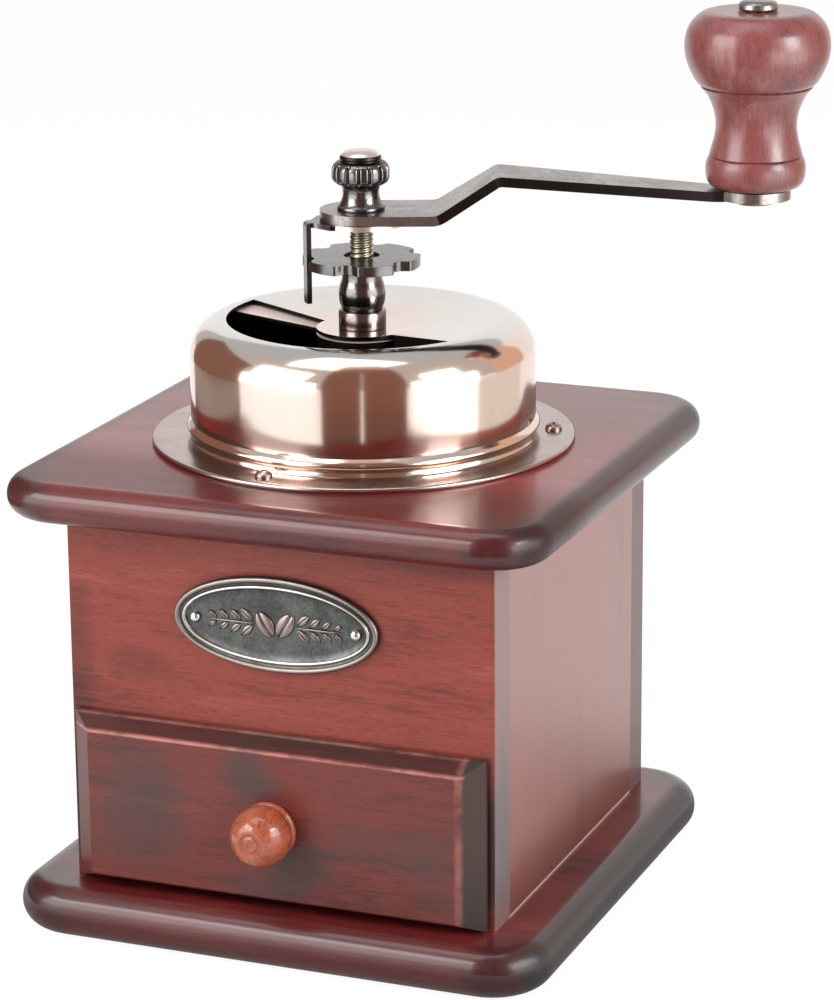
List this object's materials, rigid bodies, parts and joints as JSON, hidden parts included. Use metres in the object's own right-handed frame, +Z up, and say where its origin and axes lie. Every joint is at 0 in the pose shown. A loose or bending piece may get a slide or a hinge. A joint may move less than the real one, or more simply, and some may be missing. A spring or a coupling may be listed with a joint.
{
  "type": "burr coffee grinder",
  "caption": "Wooden box coffee mill with a domed metal hopper, a turning shutter, a conical burr, a cranked side handle and a drawer for the ground coffee.",
  "frame": {"origin": "centre of the base board's underside, on the mill's turning axis", "axes": "+Z up along the crank's shaft, -Y towards the front with the drawer and the nameplate, +X to the right; at rest the crank points 21.3 degrees back from +X"},
  "size_m": [0.1601, 0.1299, 0.2027],
  "materials": {
    "board_wood": "glossy lacquer",
    "panel_wood": "glossy lacquer",
    "plain_wood": "bare",
    "knob_wood": "glossy lacquer",
    "grip_wood": "glossy lacquer",
    "copper_plate": "polished antique copper",
    "bronze_hardware": "dark antique bronze plating",
    "shaft_steel": "yellow plated thread",
    "zinc_steel": "zinc plated",
    "grey_iron": "cast and ground"
  },
  "bodies": {
    "cabinet": {"base_board": "board_wood", "top_board": "board_wood", "left_panel": "panel_wood", "right_panel": "panel_wood", "front_panel": "panel_wood", "back_panel": "panel_wood", "dowels": "plain_wood", "base_screws": "zinc_steel", "nameplate": "bronze_hardware", "nameplate_pins": "bronze_hardware", "flange_ring": "copper_plate", "flange_screws": "bronze_hardware", "hopper_dome": "copper_plate", "hub_bush": "bronze_hardware", "shutter_washer": "zinc_steel", "bush_nut": "zinc_steel", "burr_housing": "grey_iron", "ring_burr": "grey_iron"},
    "drawer": {"drawer_front": "panel_wood", "drawer_left_side": "plain_wood", "drawer_right_side": "plain_wood", "drawer_back": "plain_wood", "drawer_bottom": "plain_wood", "drawer_knob": "knob_wood", "knob_screw": "zinc_steel"},
    "shutter_leaf": {"shutter": "copper_plate"},
    "crank": {"main_shaft": "shaft_steel", "cone_burr": "grey_iron", "burr_washer": "zinc_steel", "burr_nut": "zinc_steel", "burr_spring": "zinc_steel", "adjuster_nut": "bronze_hardware", "lock_clip": "bronze_hardware", "crank_arm": "bronze_hardware", "thumb_nut": "bronze_hardware", "handle_pin": "bronze_hardware"},
    "grip": {"handle_grip": "grip_wood"}
  },
  "joints": [
    {"name": "crank_turn", "type": "hinge", "parent": "cabinet", "child": "crank", "pos_m": [0, 0, 0.13], "axis": [0, 0, 1], "continuous": true},
    {"name": "grip_spin", "type": "hinge", "parent": "crank", "child": "grip", "pos_m": [0.08106, 0.0316, 0.18], "axis": [0, 0, 1], "continuous": true},
    {"name": "shutter_turn", "type": "hinge", "parent": "cabinet", "child": "shutter_leaf", "pos_m": [0, 0, 0.128], "axis": [0, 0, 1], "range_deg": [-25, 150]},
    {"name": "drawer_slide", "type": "slide", "parent": "cabinet", "child": "drawer", "axis": [0, -1, 0], "range_m": [0, 0.07]}
  ]
}
